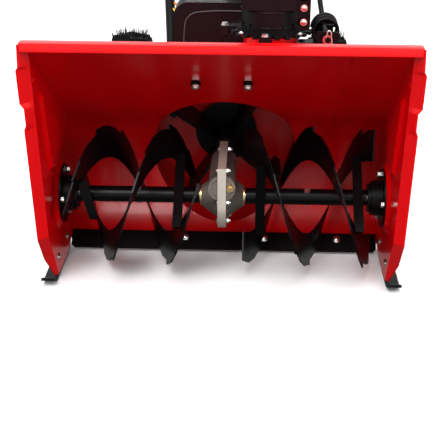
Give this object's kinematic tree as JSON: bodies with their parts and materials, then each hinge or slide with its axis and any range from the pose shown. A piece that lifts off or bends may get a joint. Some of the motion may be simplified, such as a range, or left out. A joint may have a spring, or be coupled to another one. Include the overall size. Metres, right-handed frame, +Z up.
{
  "type": "snow blower",
  "caption": "Two-stage walk-behind snow blower: wide red auger housing with serrated augers, impeller, turning discharge chute, engine, snow tyres and operator handles.",
  "frame": {"origin": "on the ground, midway between the ends of the machine and between its sides, under the wheel axle", "axes": "+X to the right as seen from the front, +Y to the rear, +Z up; the auger intake faces -Y"},
  "size_m": [0.752, 1.37, 1.053],
  "materials": {
    "red": "gloss",
    "black_powder": "satin",
    "black_plastic": "satin",
    "zinc": "satin",
    "cast": "rough cast",
    "bronze": "satin",
    "rubber": "matt",
    "tyre": "matt",
    "wheel_paint": "satin"
  },
  "bodies": {
    "machine": {"auger_housing": "red", "side_plate_left": "red", "side_plate_right": "red", "impeller_barrel": "red", "scraper_bar": "black_powder", "skid_left": "black_powder", "skid_right": "black_powder", "housing_bolts": "zinc", "bearing_flange_left": "black_powder", "bearing_flange_right": "black_powder", "gearbox_left": "cast", "gearbox_right": "cast", "gearbox_bolts": "zinc", "gearbox_trim": "cast", "chute_keepers": "black_plastic", "chute_bracket": "black_powder", "tractor_frame": "black_powder", "engine_block": "black_powder", "engine_shroud": "black_plastic", "fuel_tank": "black_plastic", "muffler": "zinc", "carburettor_cover": "black_plastic", "recoil_housing": "black_plastic", "belts": "rubber", "belt_cover": "black_plastic", "handlebar": "black_powder", "dash_panel": "black_plastic", "grips": "rubber", "cables": "rubber"},
    "auger_rotor": {"auger_left": "black_powder", "auger_right": "black_powder", "auger_shaft": "zinc", "worm_wheel": "bronze", "shear_bolts": "zinc"},
    "impeller_rotor": {"impeller_shaft": "zinc", "impeller": "black_powder", "impeller_pulley": "zinc"},
    "engine_shaft": {"crank_pulley": "zinc"},
    "drive_disc": {"drive_plate": "zinc"},
    "cross_shaft": {"hex_shaft": "zinc"},
    "friction_disc": {"friction_wheel": "rubber"},
    "wheels": {"axle": "zinc", "axle_gear": "zinc", "rim_left": "wheel_paint", "rim_right": "wheel_paint", "tyre_left": "tyre", "tyre_right": "tyre"},
    "chute_body": {"chute_ring": "black_plastic", "chute": "black_plastic"},
    "deflector_body": {"deflector": "black_plastic"},
    "worm_body": {"chute_worm": "zinc"},
    "crank_rod": {"chute_crank": "black_plastic"},
    "idler_arm": {"idler": "zinc"},
    "auger_lever_body": {"auger_lever": "black_powder"},
    "drive_lever_body": {"drive_lever": "black_powder"},
    "speed_lever_body": {"speed_lever": "black_plastic"},
    "fuel_cap_body": {"fuel_cap": "black_plastic"},
    "primer_body": {"primer_bulb": "rubber"},
    "choke_body": {"choke_knob": "black_plastic"},
    "recoil_body": {"recoil_grip": "black_plastic"}
  },
  "joints": [
    {"name": "impeller_spin", "type": "hinge", "parent": "machine", "child": "impeller_rotor", "pos_m": [0, -0.462, 0.212], "axis": [0, 1, 0], "continuous": true},
    {"name": "auger_spin", "type": "hinge", "parent": "machine", "child": "auger_rotor", "pos_m": [0, -0.462, 0.17], "axis": [1, 0, 0], "continuous": true},
    {"name": "crankshaft_spin", "type": "hinge", "parent": "machine", "child": "engine_shaft", "pos_m": [0, -0.101, 0.426], "axis": [0, 1, 0], "continuous": true},
    {"name": "drive_plate_spin", "type": "hinge", "parent": "machine", "child": "drive_disc", "pos_m": [0, -0.07, 0.258], "axis": [0, 1, 0], "continuous": true},
    {"name": "axle_spin", "type": "hinge", "parent": "machine", "child": "wheels", "pos_m": [0, 0, 0.2], "axis": [1, 0, 0], "continuous": true},
    {"name": "cross_shaft_spin", "type": "hinge", "parent": "machine", "child": "cross_shaft", "pos_m": [0, 0.0023, 0.258], "axis": [1, 0, 0], "continuous": true},
    {"name": "friction_wheel_slide", "type": "slide", "parent": "cross_shaft", "child": "friction_disc", "axis": [1, 0, 0], "range_m": [-0.05, 0.05]},
    {"name": "chute_turn", "type": "hinge", "parent": "machine", "child": "chute_body", "pos_m": [0.098, -0.227, 0.468], "axis": [0, 0, 1], "range_deg": [-95, 95]},
    {"name": "chute_worm_spin", "type": "hinge", "parent": "machine", "child": "worm_body", "pos_m": [0.217, -0.227, 0.4715], "axis": [0, 1, 0], "range_deg": [-2285, 2285]},
    {"name": "chute_crank_spin", "type": "hinge", "parent": "machine", "child": "crank_rod", "pos_m": [0.217, -0.161, 0.4715], "axis": [-0.0896, 0.8039, 0.5879], "range_deg": [-2285, 2285]},
    {"name": "deflector_tilt", "type": "hinge", "parent": "chute_body", "child": "deflector_body", "pos_m": [0.098, -0.218, 0.796], "axis": [1, 0, 0], "range_deg": [0, 50]},
    {"name": "auger_lever_squeeze", "type": "hinge", "parent": "machine", "child": "auger_lever_body", "pos_m": [0.228, 0.528, 0.96], "axis": [-1, 0, 0], "range_deg": [0, 14], "stiffness_Nm_per_rad": 1.5, "springref_deg": -20.05},
    {"name": "drive_lever_squeeze", "type": "hinge", "parent": "machine", "child": "drive_lever_body", "pos_m": [-0.228, 0.528, 0.96], "axis": [-1, 0, 0], "range_deg": [0, 14], "stiffness_Nm_per_rad": 1.5, "springref_deg": -20.05},
    {"name": "idler_swing", "type": "hinge", "parent": "machine", "child": "idler_arm", "pos_m": [0.108, -0.101, 0.292], "axis": [0, -1, 0], "range_deg": [0, 9.3]},
    {"name": "speed_lever_shift", "type": "hinge", "parent": "machine", "child": "speed_lever_body", "pos_m": [-0.06, 0.49, 0.826], "axis": [1, 0, 0], "range_deg": [-20, 20]},
    {"name": "fuel_cap_lift", "type": "slide", "parent": "machine", "child": "fuel_cap_body", "axis": [0, 0, 1], "range_m": [0, 0.03]},
    {"name": "primer_press", "type": "slide", "parent": "machine", "child": "primer_body", "axis": [-1, 0, 0], "range_m": [0, 0.0035], "stiffness_N_per_m": 600},
    {"name": "choke_turn", "type": "hinge", "parent": "machine", "child": "choke_body", "pos_m": [0.118, 0.052, 0.43], "axis": [1, 0, 0], "range_deg": [0, 90]},
    {"name": "recoil_pull", "type": "slide", "parent": "machine", "child": "recoil_body", "axis": [0, 0, 1], "range_m": [0, 0.12], "stiffness_N_per_m": 25, "springref_m": -0.08}
  ],
  "couplings": [
    {"joint": "auger_spin", "follows": "impeller_spin", "ratio": -0.1},
    {"joint": "crankshaft_spin", "follows": "impeller_spin", "ratio": 3.1212},
    {"joint": "drive_plate_spin", "follows": "impeller_spin", "ratio": 2.1068},
    {"joint": "cross_shaft_spin", "follows": "axle_spin", "ratio": -3},
    {"joint": "friction_wheel_slide", "follows": "speed_lever_shift", "m_per_rad": 0.143},
    {"joint": "chute_worm_spin", "follows": "chute_turn", "ratio": -24},
    {"joint": "chute_crank_spin", "follows": "chute_turn", "ratio": -24},
    {"joint": "idler_swing", "follows": "auger_lever_squeeze", "ratio": 0.66}
  ]
}
